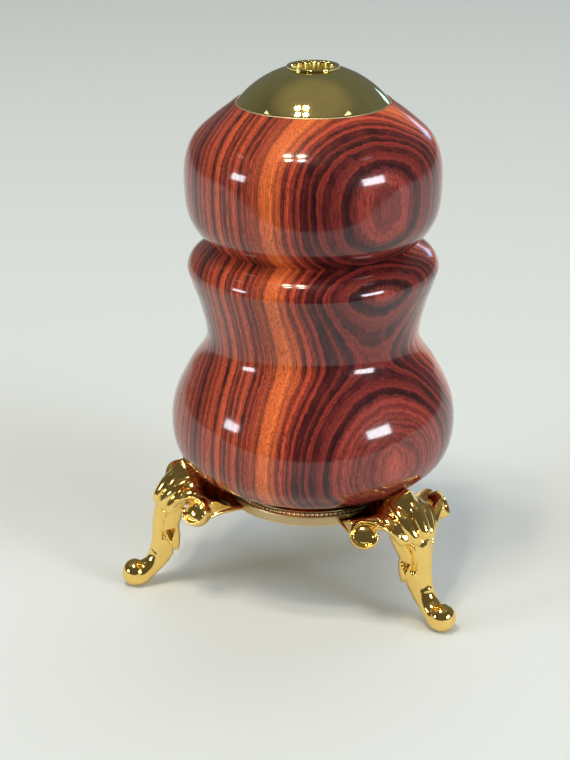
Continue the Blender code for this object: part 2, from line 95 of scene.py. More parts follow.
# Stand ring.
RING_RADIUS = 16.1
RING_BOTTOM_Z = 16.35
RING_TOP_Z = 18.35
RING_BAND = 1.1
RING_HOLE_RADIUS = 4.6
PLATE_BOTTOM_Z = 17.15
PLATE_TOP_Z = 18.6
CHANNEL_WIDTH = 0.6
CHANNEL_Z = 17.6
BEADS = 108
BEAD_CIRCLE = 15.2
BEAD_RADIUS = 0.42
BEAD_Z = 18.32

# Lug of each leg, with the screw that holds it to the ring's plate.
LUG_TOP_Z = PLATE_BOTTOM_Z - GAP
LUG_HEIGHT = 0.75
LUG_OUTER = 20.0
LUG_HALF_WIDTH = 2.7
LEG_SCREW_FROM_AXIS = 12.6
LEG_SCREW_RADIUS = 0.95
LEG_ANGLES = {"leg_back": 90.0, "leg_front_left": 210.0, "leg_front_right": 330.0}

# Figure of the wood. The growth layers are nearly flat sheets that cross the block at GRAIN_TURN
# and bow across it; a point's layer is its depth across them in mm.
GRAIN_TURN = -39.75  # degrees
GRAIN_MIDDLE_Z = 58.0
GRAIN_SPAN_Z = 30.0
GRAIN_SPAN_T = 20.0
LAYER_LOW = -32.0
LAYER_HIGH = 30.0

# Depth that the layers gain by their lean and bow, as powers of the height h from the figure's
# middle and of the place t along the layers, both in spans.
LEAN = (0.858, 0.689, -1.172)  # h, h^2, h^3
BOW = (-3.577, 1.091)  # t^2, t^3
TWIST = -0.515  # h t

# Broad colour across the layers: (depth, red, green, blue) as 8-bit sRGB.
WOOD_TONES = (
    (-32.0, 202, 93, 64),
    (-12.0, 200, 89, 60),
    (-8.0, 164, 61, 47),
    (-5.5, 205, 85, 56),
    (0.0, 228, 98, 60),
    (7.0, 213, 85, 54),
    (11.5, 250, 124, 62),
    (14.5, 213, 85, 56),
    (17.5, 174, 60, 47),
    (22.5, 170, 62, 52),
    (26.0, 200, 86, 69),
    (30.0, 192, 82, 67),
)
DARK_WOOD = (34, 9, 16)  # of lines and pores, as 8-bit sRGB

# Dark growth lines: (depth, half width, darkness).
GROWTH_LINES = (
    (-29.5, 0.5, 0.60),
    (-27.2, 0.4, 0.50),
    (-24.8, 0.6, 0.65),
    (-22.9, 0.4, 0.45),
    (-20.6, 0.6, 0.65),
    (-18.7, 0.35, 0.45),
    (-17.0, 0.55, 0.60),
    (-15.0, 0.4, 0.45),
    (-12.6, 0.45, 0.65),
    (-10.5, 0.55, 0.80),
    (-9.0, 0.5, 0.75),
    (-7.6, 0.75, 0.95),
    (-6.1, 0.25, 0.30),
    (-4.5, 0.4, 0.75),
    (-3.2, 0.2, 0.25),
    (-1.95, 0.7, 0.98),
    (-0.1, 0.2, 0.25),
    (1.55, 0.5, 0.80),
    (3.1, 0.3, 0.45),
    (5.15, 0.65, 0.95),
    (6.5, 0.5, 0.80),
    (9.1, 0.4, 0.75),
    (10.4, 0.2, 0.20),
    (12.5, 0.3, 0.50),
    (14.1, 0.5, 0.80),
    (16.1, 0.45, 0.70),
    (17.7, 0.8, 0.98),
    (19.1, 0.55, 0.95),
    (20.7, 0.7, 0.98),
    (22.6, 0.55, 0.92),
    (24.9, 0.4, 0.55),
    (27.2, 0.45, 0.50),
)

LINES_PER_RAMP = 7  # a colour ramp holds 32 stops
# Edges of a growth line, from its paler side: (share of the half width, share of the darkness).
LINE_EDGES = ((-1.3, 0.0), (-0.6, 1.0), (0.5, 1.0), (0.85, 0.0))
# Fine layers: (how many in a mm, low and high end of the noise that shows, darkness).
FINE_LAYERS = (
    (0.6, 0.50, 0.64, 0.50),
    (1.6, 0.50, 0.66, 0.50),
    (2.7, 0.48, 0.62, 0.40),
    (4.5, 0.45, 0.66, 0.34),
)
PALEST_LAYER = 11.4
PALEST_REACH = (1.6, 3.2)  # fine layers come back between these distances from the palest layer
PALEST_SHARE = 0.3  # of their darkness that is left there

# Noises in the wood: (frequency along the height as a share of that across, features in a mm,
# detail, roughness).
WANDER = (0.10, 0.22, 3.0, 0.5)
RIPPLE = (0.22, 1.5, 4.0, 0.65)
FADING = (0.12, 0.5, 2.0, 0.5)
PORES = (0.09, 5.0, 1.0, 0.5)
FLECKS = (0.20, 3.4, 3.0, 0.75)
WANDER_REACH = 0.9  # how far the layers are moved, in mm
RIPPLE_REACH = 0.75
# What the others turn into: (low and high end of the noise that shows, the value at each).
FADING_RANGE = (0.3, 0.65, 0.6, 0.95)
PORES_RANGE = (0.56, 0.70, 0.0, 0.6)
FLECKS_RANGE = (0.3, 0.7, 0.74, 1.26)

# Metals, as linear colours.
BRASS = (0.92, 0.78, 0.31, 1)
# Paler brushed brass: a painted highlight on the dome's rolled edge.
BRUSHED_BRASS_PAINTED_HIGHLIGHT = (1.0, 0.84, 0.50, 1)
# Brighter satin brass: painted light inside the bush's bore.
SATIN_BRASS_PAINTED_LIGHT = (1.0, 0.84, 0.30, 1)
GOLD = (1.0, 0.69, 0.21, 1)
# Paler satin gold: a painted highlight on the ring's rounded edge.
SATIN_GOLD_PAINTED_HIGHLIGHT = (1.0, 0.86, 0.44, 1)
# Darker brown satin gold: painted shade on the ring's upright side.
SATIN_GOLD_PAINTED_SHADE = (0.62, 0.46, 0.25, 1)
ZINC = (0.62, 0.62, 0.60, 1)

# Camera: where it stands and points for the photograph's view.
CAMERA_DISTANCE = 360.0
CAMERA_ELEVATION = 21.15
CAMERA_AIM_Z = 39.65
CAMERA_AZIMUTH = 17.38
CAMERA_YAW = 0.91
CAMERA_ROLL = -0.29
FOCAL_PIXELS = 1884.87
IMAGE_HEIGHT = 760
SENSOR = 36.0

# Floor. In reflections it ends before the camera, as a cloth on a dark table does.
FLOOR_RADIUS = 4.0  # metres
CLOTH = (0.70, 0.74, 0.73, 1)
TABLE = (0.06, 0.05, 0.045, 1)
CLOTH_EDGE = 166.0  # from the axis towards the camera, in mm
CLOTH_EDGE_BLUR = 8.0

# Room: colours, and between which parts of a direction they blend.
FRONT_WALLS = (0.10, 0.095, 0.085, 1)
BACK_WALLS = (0.14, 0.15, 0.145, 1)
CEILING = (0.24, 0.22, 0.18, 1)
FRONT_TO_BACK = (-0.35, 0.75)
WALLS_TO_CEILING = (0.72, 0.94)

# Lamps: (name, azimuth and elevation in degrees, distance and size in metres, watts, colour).
DAYLIGHT = (0.86, 0.93, 1.0)
SKYLIGHT = (0.32, 0.64, 1.0)
LAMPLIGHT = (1.0, 0.86, 0.66)
LAMPS_AIM_Z = 0.06  # the height that they face, in metres
WINDOWS = (
    ("window_left", -52, 13.0, 1.2, (0.28, 0.18), 3.0, DAYLIGHT),
    ("window_right", 72, 13.4, 1.2, (0.43, 0.22), 6.6, DAYLIGHT),
    ("strip_behind", 172, 9, 1.3, (0.18, 0.16), 0.3, SKYLIGHT),
    ("pane_left", -74.5, 45.5, 1.3, (0.20, 0.08), 0.10, DAYLIGHT),
    ("pane_right", 91.8, 54.7, 1.3, (0.22, 0.08), 0.10, DAYLIGHT),
)
CEILING_LAMPS = ((-38, 71.8), (-12, 76), (-22.8, 65.4), (-2, 68))  # azimuth and elevation
CEILING_LAMP = (1.3, (0.11,), 1.9, LAMPLIGHT)
FILLS = (
    ("fill_left", -50, 38, 1.3, (1.0, 0.8), 4.3, DAYLIGHT),
    ("fill_right", 66, 38, 1.3, (1.0, 0.8), 4.8, DAYLIGHT),
    ("fill_behind", 180, 60, 1.8, (1.2, 1.0), 8.0, DAYLIGHT),
)

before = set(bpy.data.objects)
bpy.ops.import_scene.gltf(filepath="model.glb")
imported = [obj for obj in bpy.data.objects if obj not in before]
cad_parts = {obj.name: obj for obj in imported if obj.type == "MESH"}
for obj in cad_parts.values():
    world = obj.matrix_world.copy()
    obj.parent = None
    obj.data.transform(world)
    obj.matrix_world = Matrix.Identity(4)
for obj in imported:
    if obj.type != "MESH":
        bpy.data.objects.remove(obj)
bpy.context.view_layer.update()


# ---------------------------------------------------------------------------------- mesh tools


def smooth_through(stations, per_span):
    """Points on a smooth curve through the stations, with its tangents from their neighbours."""
    points = [Vector(station) for station in stations]
    tangents = []
    for i, here in enumerate(points):
        before = points[max(i - 1, 0)]
        after = points[min(i + 1, len(points) - 1)]
        tangents.append((after - before) / ((here - before).length + (after - here).length))
    curve = []
    for start, end, leaving, arriving in zip(points, points[1:], tangents, tangents[1:]):
        chord = (end - start).length
        for step in range(per_span):
            t = step / per_span
            bend = leaving * (t - 2 * t**2 + t**3) + arriving * (t**3 - t**2)
            curve.append(start.lerp(end, 3 * t**2 - 2 * t**3) + bend * chord)
    return curve + [points[-1]]


def direction_at(path, i):
    """The direction of a path at its point i, from that point's neighbours."""
    return (path[min(i + 1, len(path) - 1)] - path[max(i - 1, 0)]).normalized()


def arc(centre, radius, start, end, steps):
    """Points of an arc in the (radius, height) plane, from the angle start to end in degrees."""
    angles = (math.radians(start + (end - start) * i / steps) for i in range(steps + 1))
    return [(centre[0] + radius * math.cos(a), centre[1] + radius * math.sin(a)) for a in angles]


def new_object(name, bm, smooth_angle=35):
    """A smooth-shaded object of a bmesh made in millimetres round the wood's axis."""
    bmesh.ops.remove_doubles(bm, verts=bm.verts, dist=1e-4)
    bmesh.ops.recalc_face_normals(bm, faces=bm.faces)
    place = Matrix.Translation((0, AXIS_Y * MM, 0)) @ Matrix.Scale(MM, 4)
    bmesh.ops.transform(bm, matrix=place, verts=bm.verts)
    mesh = bpy.data.meshes.new(name)
    bm.to_mesh(mesh)
    bm.free()
    mesh.shade_smooth()
    mesh.set_sharp_from_angle(angle=math.radians(smooth_angle))
    obj = bpy.data.objects.new(name, mesh)
    bpy.context.scene.collection.objects.link(obj)
    return obj


def add_turned(bm, outline, steps):
    """Adds a closed (radius, height) outline turned about the wood's axis."""
    verts = [bm.verts.new((r, 0, z)) for r, z in outline]
    edges = [bm.edges.new(pair) for pair in zip(verts, verts[1:] + verts[:1])]
    bmesh.ops.spin(
        bm,
        geom=verts + edges,
        axis=(0, 0, 1),
        cent=(0, 0, 0),
        angle=math.tau,
        steps=steps,
        use_merge=True,
    )


def turned(name, outline, steps, smooth_angle=35):
    """A solid turned about the wood's axis."""
    bm = bmesh.new()
    add_turned(bm, outline, steps)
    return new_object(name, bm, smooth_angle)


def add_loft(bm, sections, closed=False):
    """Skins sections of equal length: with end caps or, if closed, round in a loop."""
    rings = [[bm.verts.new(point) for point in section] for section in sections]
    for ring, after in zip(rings, rings[1:] + rings[:1] if closed else rings[1:]):
        for i in range(len(ring)):
            bm.faces.new((ring[i - 1], ring[i], after[i], after[i - 1]))
    if not closed:
        bm.faces.new(rings[0])
        bm.faces.new(rings[-1])


# ---------------------------------------------------------------------------------- materials


def srgb(red, green, blue):
    """A linear RGBA colour from 8-bit sRGB values."""
    linear = []
    for channel in (red, green, blue):
        c = channel / 255
        linear.append(c / 12.92 if c <= 0.04045 else ((c + 0.055) / 1.055) ** 2.4)
    return (*linear, 1.0)


class Nodes:
    """Short ways to add shader nodes to one material, or to the world."""

    def __init__(self, owner, shader="Principled BSDF"):
        owner.use_nodes = True
        self.owner = owner
        self.tree = owner.node_tree
        self.shader = self.tree.nodes[shader]

    def add(self, kind, inputs=(), **settings):
        """A node with its settings, and its inputs as (name or index, socket or value) pairs."""
        made = self.tree.nodes.new(kind)
        for key, value in settings.items():
            setattr(made, key, value)
        for key, value in inputs:
            self.put(made.inputs[key], value)
        return made

    def put(self, socket, value):
        """Links a socket to the input, or sets the input's value."""
        if isinstance(value, bpy.types.NodeSocket):
            self.tree.links.new(value, socket)
        else:
            socket.default_value = value

    def math(self, operation, a, b=0.0, c=0.0):
        made = self.add("ShaderNodeMath", ((0, a), (1, b), (2, c)), operation=operation)
        return made.outputs[0]

    def vector(self, operation, a, b, output="Vector"):
        """A vector operation; its output is Value where the result is a number."""
        made = self.add("ShaderNodeVectorMath", ((0, a), (1, b)), operation=operation)
        return made.outputs[output]

    def height(self, vector):
        return self.add("ShaderNodeSeparateXYZ", ((0, vector),)).outputs["Z"]

    def millimetres(self):
        """The point in mm from the wood's axis."""
        place = self.add("ShaderNodeTexCoord").outputs["Object"]
        centred = self.vector("SUBTRACT", place, (0, AXIS_Y * MM, 0))
        return self.vector("MULTIPLY", centred, (1 / MM, 1 / MM, 1 / MM))

    def noise(self, where, scale, detail=2.0, roughness=0.5, dimensions="3D"):
        """A noise value from 0 to 1. In one dimension, where is a number."""
        socket = "W" if dimensions == "1D" else "Vector"
        inputs = ((socket, where), ("Scale", scale), ("Detail", detail), ("Roughness", roughness))
        return self.add("ShaderNodeTexNoise", inputs, noise_dimensions=dimensions).outputs[0]

    def spread(self, value, low, high, to_low=0.0, to_high=1.0, kind="LINEAR"):
        """The value moved from one range to another, clamped."""
        inputs = ((0, value), (1, low), (2, high), (3, to_low), (4, to_high))
        return self.add("ShaderNodeMapRange", inputs, interpolation_type=kind).outputs[0]

    def ramp(self, factor, stops):
        """A colour ramp through (position, colour) stops."""
        made = self.add("ShaderNodeValToRGB", ((0, factor),))
        elements = made.color_ramp.elements
        while len(elements) < len(stops):
            elements.new(1.0)
        for element, (position, colour) in zip(elements, stops):
            element.position = position
            element.color = colour
        return made.outputs[0]

    def mix(self, factor, a, b, blend="MIX"):
        made = self.add("ShaderNodeMix", data_type="RGBA", blend_type=blend)
        self.put(made.inputs["Factor"], factor)
        self.put(made.inputs["A"], a)
        self.put(made.inputs["B"], b)
        return made.outputs["Result"]

    def bump(self, height, strength, distance):
        inputs = (("Height", height), ("Strength", strength), ("Distance", distance))
        made = self.add("ShaderNodeBump", inputs)
        self.put(self.shader.inputs["Normal"], made.outputs[0])

    def set(self, **inputs):
        """Sets the shader's inputs; underscores stand for spaces."""
        for key, value in inputs.items():
            self.put(self.shader.inputs[key.replace("_", " ")], value)


def grain_depth(nodes, place):
    """The wood's growth layer at a point, as its depth in mm across the layers."""
    turn = math.radians(GRAIN_TURN)
    across = (math.cos(turn), math.sin(turn), 0)
    along = (-math.sin(turn), math.cos(turn), 0)
    d = nodes.vector("DOT_PRODUCT", place, across, "Value")
    t = nodes.math("DIVIDE", nodes.vector("DOT_PRODUCT", place, along, "Value"), GRAIN_SPAN_T)
    above = nodes.math("SUBTRACT", nodes.height(place), GRAIN_MIDDLE_Z)
    h = nodes.math("DIVIDE", above, GRAIN_SPAN_Z)
    lean = nodes.math("MULTIPLY_ADD", h, LEAN[2], LEAN[1])
    lean = nodes.math("MULTIPLY_ADD", h, lean, LEAN[0])
    bow = nodes.math("MULTIPLY_ADD", t, BOW[1], BOW[0])
    bow = nodes.math("MULTIPLY", t, bow)
    bow = nodes.math("MULTIPLY_ADD", h, TWIST, bow)
    depth = nodes.math("MULTIPLY_ADD", h, lean, d)
    return nodes.math("MULTIPLY_ADD", t, bow, depth)


def growth_lines(nodes, depth):
    """Darkness of the growth lines, from colour ramps that each hold a run of them."""
    total = None
    for first in range(0, len(GROWTH_LINES), LINES_PER_RAMP):
        run = GROWTH_LINES[first : first + LINES_PER_RAMP]
        low = run[0][0] - 1.0
        high = run[-1][0] + 1.0
        stops = []
        for centre, half_width, darkness in run:
            for side, level in LINE_EDGES:
                position = (centre + side * half_width - low) / (high - low)
                stops.append((position, (level * darkness,) * 3 + (1,)))
        place = nodes.spread(depth, low, high)
        dark = nodes.ramp(place, stops)
        total = dark if total is None else nodes.mix(1.0, total, dark, "ADD")
    return total


def drawn_out(nodes, place, shape):
    """Noise that is drawn out along the wood's height."""
    stretch, scale, detail, roughness = shape
    where = nodes.vector("MULTIPLY", place, (1.0, 1.0, stretch))
    return nodes.noise(where, scale, detail, roughness)


def moved(nodes, depth, noise, reach):
    """The layers moved this far to either side by a noise."""
    return nodes.math("MULTIPLY_ADD", nodes.math("SUBTRACT", noise, 0.5), reach, depth)


def rosewood():
    """Striped rosewood under a clear gloss finish."""
    nodes = Nodes(bpy.data.materials.new("rosewood_gloss"))
    place = nodes.millimetres()
    dark = srgb(*DARK_WOOD)
    depth = grain_depth(nodes, place)
    depth = moved(nodes, depth, drawn_out(nodes, place, WANDER), WANDER_REACH)
    depth = moved(nodes, depth, drawn_out(nodes, place, RIPPLE), RIPPLE_REACH)
    tones = []
    for layer, *rgb in WOOD_TONES:
        tones.append(((layer - LAYER_LOW) / (LAYER_HIGH - LAYER_LOW), srgb(*rgb)))
    colour = nodes.ramp(nodes.spread(depth, LAYER_LOW, LAYER_HIGH), tones)

    # Fine layers between the growth lines, weak near the palest layer.
    from_palest = nodes.math("ABSOLUTE", nodes.math("SUBTRACT", depth, PALEST_LAYER))
    strength = nodes.spread(from_palest, *PALEST_REACH, PALEST_SHARE, 1.0)
    for scale, low, high, darkness in FINE_LAYERS:
        layers = nodes.noise(depth, scale, 1.0, 0.5, "1D")
        fine = nodes.math("MULTIPLY", nodes.spread(layers, low, high, 0.0, darkness), strength)
        colour = nodes.mix(fine, colour, dark)

    # Growth lines, which fade here and there, and open pores: short dark dashes.
    fading = nodes.spread(drawn_out(nodes, place, FADING), *FADING_RANGE)
    lines = nodes.math("MULTIPLY", growth_lines(nodes, depth), fading)
    colour = nodes.mix(lines, colour, dark)
    pores = nodes.spread(drawn_out(nodes, place, PORES), *PORES_RANGE)
    colour = nodes.mix(pores, colour, dark)

    flecks = nodes.spread(drawn_out(nodes, place, FLECKS), *FLECKS_RANGE)
    shade = nodes.add("ShaderNodeCombineColor", ((0, flecks), (1, flecks), (2, flecks)))
    colour = nodes.mix(1.0, colour, shade.outputs[0], "MULTIPLY")
    nodes.set(Base_Color=colour, Roughness=0.42, Specular_IOR_Level=0.08)
    nodes.set(Coat_Weight=1.0, Coat_Roughness=0.10, Coat_IOR=1.5)
    nodes.bump(nodes.noise(place, 0.9, 2.0), 0.05, 0.0004)
    return nodes.owner


def metal(name, colour, roughness, spots=0.12, bump=0.04):
    """Polished metal with a little uneven polish and a faint cast or spun texture. Returns its
    nodes, so that satin can change a part of it."""
    nodes = Nodes(bpy.data.materials.new(name))
    place = nodes.millimetres()
    cloud = nodes.spread(nodes.noise(place, 0.45, 3.0), 0.3, 0.7)
    duller = tuple(c * (1 - spots) for c in colour[:3]) + (1,)
    rub = nodes.noise(place, 2.5, 4.0, 0.6)
    nodes.set(Base_Color=nodes.mix(cloud, colour, duller), Metallic=1.0)
    nodes.set(Roughness=nodes.spread(rub, 0.3, 0.7, roughness * 0.7, roughness * 1.5))
    nodes.bump(nodes.noise(place, 1.4, 3.0), bump, 0.0002)
    return nodes


def satin(nodes, where, colour, roughness):
    """Makes a metal satin, and of this colour, where the factor is 1."""
    base = nodes.shader.inputs["Base Color"]
    nodes.put(base, nodes.mix(where, base.links[0].from_socket, colour))
    socket = nodes.shader.inputs["Roughness"]
    polished = socket.links[0].from_socket
    more = nodes.math("SUBTRACT", roughness, polished)
    nodes.put(socket, nodes.math("MULTIPLY_ADD", where, more, polished))


def ring_gold():
    """The ring's plating: satin on its upright side, in a darker brown that is painted shade,
    satin where it is rounded, in a paler colour that is a painted highlight, and polished on its
    level faces."""
    nodes = metal("ring_plate", GOLD, roughness=0.09, spots=0.06, bump=0.04)
    normal = nodes.add("ShaderNodeNewGeometry").outputs["Normal"]
    levelness = nodes.math("ABSOLUTE", nodes.height(normal))
    # Rounded faces: satin, in a paler colour that is a painted highlight.
    satin(nodes, nodes.spread(levelness, 0.90, 0.98, 1.0, 0.0), SATIN_GOLD_PAINTED_HIGHLIGHT, 0.42)
    # Upright side: satin, in a darker brown that is painted shade.
    satin(nodes, nodes.spread(levelness, 0.10, 0.40, 1.0, 0.0), SATIN_GOLD_PAINTED_SHADE, 0.42)
    return nodes.owner


def dome_brass():
    """The dome's brass, with a brushed band at its edge whose paler colour is a painted
    highlight.
    """
    nodes = metal("dome_brass", BRASS, roughness=0.05, spots=0.08, bump=0.015)
    level = nodes.vector("MULTIPLY", nodes.millimetres(), (1, 1, 0))
    radius = nodes.vector("LENGTH", level, (0, 0, 0), "Value")
    edge = nodes.spread(radius, DOME_FACE_RADIUS, DOME_FACE_RADIUS + 0.05)
    # The edge is brushed, and its paler colour is a painted highlight.
    satin(nodes, edge, BRUSHED_BRASS_PAINTED_HIGHLIGHT, 0.45)
    return nodes.owner


def bush_brass():
    """The bush's brass: polished lip, and satin flutes whose brighter colour is painted light in
    the bore.
    """
    nodes = metal("bush_brass", BRASS, roughness=0.06, spots=0.08, bump=0.02)
    lip_foot = BUSH_TOP_Z - 0.4
    height = nodes.height(nodes.millimetres())
    below = nodes.spread(height, lip_foot - 0.4, lip_foot, 1.0, 0.0)
    # Below the lip: satin, in a brighter colour that is painted light in the bore.
    satin(nodes, below, SATIN_BRASS_PAINTED_LIGHT, 0.42)
    return nodes.owner


def felt():
    """Green felt, with a fibrous surface."""
    nodes = Nodes(bpy.data.materials.new("green_felt"))
    place = nodes.millimetres()
    fibre = nodes.noise(place, 4.0, 5.0, 0.7)
    colour = nodes.ramp(fibre, ((0.3, srgb(38, 70, 50)), (0.7, srgb(70, 104, 78))))
    nodes.set(Base_Color=colour, Roughness=0.95, Specular_IOR_Level=0.1)
    nodes.set(Sheen_Weight=0.6, Sheen_Roughness=0.5)
    nodes.bump(fibre, 0.5, 0.0002)
    return nodes.owner


# ------------------------------------------------------------------------------- turned pieces


def wood_outline(per_span):
    """The turned outside of the wood, from its underside to the rim round the dome."""
    lower = smooth_through(WAIST_AND_LOWER_BULB, per_span)
    upper = smooth_through(UPPER_BULB, per_span)
    return [(min(r, WOOD_WIDEST), z) for r, z in (tuple(p) for p in lower + upper[1:])]


def turned_wood():
    """The wood: its outside, the dome's seat, the bore, the screw's pilot and the spigot."""
    outside = wood_outline(10)
    rim = outside[-1]
    break_edge = 0.12  # the sharp rim is just broken
    inside = [
        (rim[0] - break_edge, rim[1] - break_edge * 0.2),
        (rim[0] - break_edge, CAP_SEAT_Z),
        (BORE_RADIUS, CAP_SEAT_Z),
        (BORE_RADIUS, BORE_FLOOR_Z),
        (0, BORE_FLOOR_Z),
        (0, PILOT_TOP_Z),
        (PILOT_RADIUS, PILOT_TOP_Z - PILOT_RADIUS),
        (PILOT_RADIUS, SPIGOT_Z),
        (SPIGOT_RADIUS, SPIGOT_Z),
        (SPIGOT_RADIUS, outside[0][1]),
    ]
    return turned("turned_wood", outside + inside, 256)


def dome_shell():
    """The spun dome: its face, and a bright rolled edge against the wood."""
    centre_z = DOME_RIM_Z - math.sqrt(DOME_RADIUS**2 - DOME_RIM_RADIUS**2)
    inner_radius = DOME_RADIUS - DOME_WALL
    outer_start = math.degrees(math.acos(DOME_FACE_RADIUS / DOME_RADIUS))
    outer_end = math.degrees(math.acos(DOME_HOLE_RADIUS / DOME_RADIUS))
    inner_start = math.degrees(math.asin((DOME_RIM_Z - centre_z) / inner_radius))
    inner_end = math.degrees(math.acos(DOME_HOLE_RADIUS / inner_radius))
    outer = arc((0, centre_z), DOME_RADIUS, outer_start, outer_end, 60)
    inner = arc((0, centre_z), inner_radius, inner_end, inner_start, 16)
    sunk = 0.12  # the roll's centre below the rim, and the groove inside it below the face
    groove_width = 0.06
    roll_centre = (DOME_EDGE_RADIUS - DOME_EDGE, DOME_RIM_Z - sunk)
    roll = arc(roll_centre, DOME_EDGE, -90, 70, 12)
    groove = (DOME_FACE_RADIUS + groove_width, outer[0][1] - sunk)
    edge = [(inner[-1][0], DOME_RIM_Z - DOME_EDGE)] + roll + [groove]
    return turned("dome_shell", outer + inner + edge, 192, 50)


def fluted_ring(radius, depth, height, per_flute=10):
    """A level ring of points whose radius dips by depth at each flute's crest."""
    count = FLUTES * per_flute
    ring = []
    for i in range(count):
        angle = math.tau * i / count
        r = radius - depth * abs(math.sin(angle * FLUTES / 2))
        ring.append((r * math.cos(angle), r * math.sin(angle), height))
    return ring


def fluted_bush():
    """The bush that grips the pen: a rounded lip, a neck, and a fluted bore."""
    lip_z = BUSH_TOP_Z - BUSH_LIP_HEIGHT
    flute_end = BUSH_TOP_Z - FLUTE_DEPTH
    lip_low_round = 0.1
    lip_round = 0.16
    mouth_round = 0.2
    run_out = 0.3  # height over which the flutes start and end
    rings = [
        fluted_ring(LINER_INNER_RADIUS, 0, BUSH_BOTTOM_Z),
        fluted_ring(BUSH_RADIUS, 0, BUSH_BOTTOM_Z),
        fluted_ring(BUSH_RADIUS, 0, lip_z + lip_low_round),
    ]
    lip_low = (BUSH_LIP_RADIUS - lip_low_round, lip_z + lip_low_round)
    lip_high = (BUSH_LIP_RADIUS - lip_round, BUSH_TOP_Z - lip_round)
    lip = arc(lip_low, lip_low_round, -90, 0, 4) + arc(lip_high, lip_round, 0, 90, 6)
    for r, z in lip:
        rings.append(fluted_ring(r, 0, z))
    mouth = (BUSH_MOUTH_RADIUS + mouth_round, BUSH_TOP_Z - mouth_round)
    crest = FLUTE_ROOT_RADIUS - FLUTE_CREST_RADIUS
    for i, (r, z) in enumerate(arc(mouth, mouth_round, 90, 180, 6)):
        rings.append(fluted_ring(r, crest * i / 6, z))
    rings.append(fluted_ring(FLUTE_ROOT_RADIUS, crest, mouth[1] - run_out))
    rings.append(fluted_ring(FLUTE_ROOT_RADIUS, crest, flute_end))
    rings.append(fluted_ring(LINER_INNER_RADIUS, 0, flute_end - run_out))
    bm = bmesh.new()
    add_loft(bm, rings, closed=True)
    return new_object("fluted_bush", bm, 40)


def ring_beads(bm):
    """The circle of beads inside the top of the ring's band."""
    for i in range(BEADS):
        angle = math.tau * i / BEADS
        place = (BEAD_CIRCLE * math.cos(angle), BEAD_CIRCLE * math.sin(angle), BEAD_Z)
        bead = bmesh.ops.create_uvsphere(bm, u_segments=12, v_segments=8, radius=BEAD_RADIUS)
        bmesh.ops.translate(bm, vec=place, verts=bead["verts"])


def ring_band():
    """The stand's ring: band with a rounded bright edge, dark channel and raised plate."""
    inner = RING_RADIUS - RING_BAND
    bright, plain, slight = 0.34, 0.2, 0.15  # radii of the rounded edges
    plate_radius = inner - CHANNEL_WIDTH
    outer_top = arc((RING_RADIUS - bright, RING_TOP_Z - bright), bright, 0, 90, 8)
    outer_low = arc((RING_RADIUS - plain, RING_BOTTOM_Z + plain), plain, -90, 0, 5)
    inner_top = arc((inner + slight, RING_TOP_Z - slight), slight, 90, 180, 4)
    plate_edge = arc((plate_radius - plain, PLATE_TOP_Z - plain), plain, 0, 90, 5)
    outline = [
        (RING_HOLE_RADIUS, PLATE_BOTTOM_Z),
        (inner, PLATE_BOTTOM_Z),
        (inner, RING_BOTTOM_Z),
        *outer_low,
        *outer_top,
        *inner_top,
        (inner, CHANNEL_Z),
        (plate_radius, CHANNEL_Z),
        *plate_edge,
        (RING_HOLE_RADIUS, PLATE_TOP_Z),
    ]
    bm = bmesh.new()
    add_turned(bm, outline, 192)
    ring_beads(bm)
    return new_object("ring_band", bm, 50)


# ------------------------------------------------------------------------------------- legs
# A leg is modelled pointing along +X, with +Y to its side, and is turned into place.

LEG_TO_WOOD = 0.12  # clearance between a leg and the wood
LEG_FREE_Z = 45.0  # above this, the wood is far from the legs
VOXEL = 0.14  # size of the cells in which a leg's forms melt together

# Knee of the leg: (angle from the leg's middle plane in degrees, share of the way from the
# middle section to the flange's section).
KNEE_FANS = ((0, 0.0), (4, 0.20), (8, 0.54), (12, 0.78), (18, 0.95), (26, 1.0))
KNEE_MIDDLE = (
    (16.45, 16.35),
    (16.45, 19.6),
    (21.0, 23.4),
    (25.6, 25.5),
    (28.2, 22.9),
    (29.6, 19.9),
    (30.2, 17.6),
    (29.0, 16.2),
    (26.6, 16.2),
    (24.0, 17.4),
    (20.0, 17.4),
)
KNEE_SIDE = (
    (16.45, 17.3),
    (16.45, 18.0),
    (19.2, 18.6),
    (21.6, 19.8),
    (23.0, 20.8),
    (24.2, 20.9),
    (24.9, 19.8),
    (24.6, 18.9),
    (23.2, 18.4),
    (21.4, 18.2),
    (18.6, 18.0),
)

# Lobes of the leaf as (x, y, z, half width, half thickness), from the wood to the tip.
MIDDLE_LOBE = (
    (24.6, 0.0, 24.0, 0.3, 0.2),
    (26.6, 0.0, 23.2, 1.0, 0.75),
    (28.4, 0.0, 21.5, 1.45, 1.1),
    (30.2, 0.0, 18.6, 1.3, 1.15),
    (30.8, 0.0, 17.2, 0.7, 0.75),
)
INNER_LOBE = (
    (24.0, 2.7, 22.8, 0.3, 0.2),
    (26.0, 2.85, 21.9, 1.0, 0.7),
    (27.8, 2.7, 20.5, 1.4, 1.0),
    (29.6, 2.0, 17.8, 1.2, 1.1),
    (30.1, 1.6, 16.4, 0.7, 0.75),
)
OUTER_LOBE = (
    (23.2, 4.9, 21.3, 0.3, 0.2),
    (25.0, 5.1, 20.7, 1.05, 0.65),
    (26.9, 4.75, 19.5, 1.5, 0.9),
    (28.6, 3.6, 17.3, 1.3, 1.0),
    (29.2, 2.8, 15.8, 0.7, 0.7),
)
KNEE_BEND = (22.0, 15.0)  # (x, z) of the line that the lobes' surface bends round
KNEE_SPLAY = 0.4  # share of a lobe's y at which that line lies, so that the outer ones look out

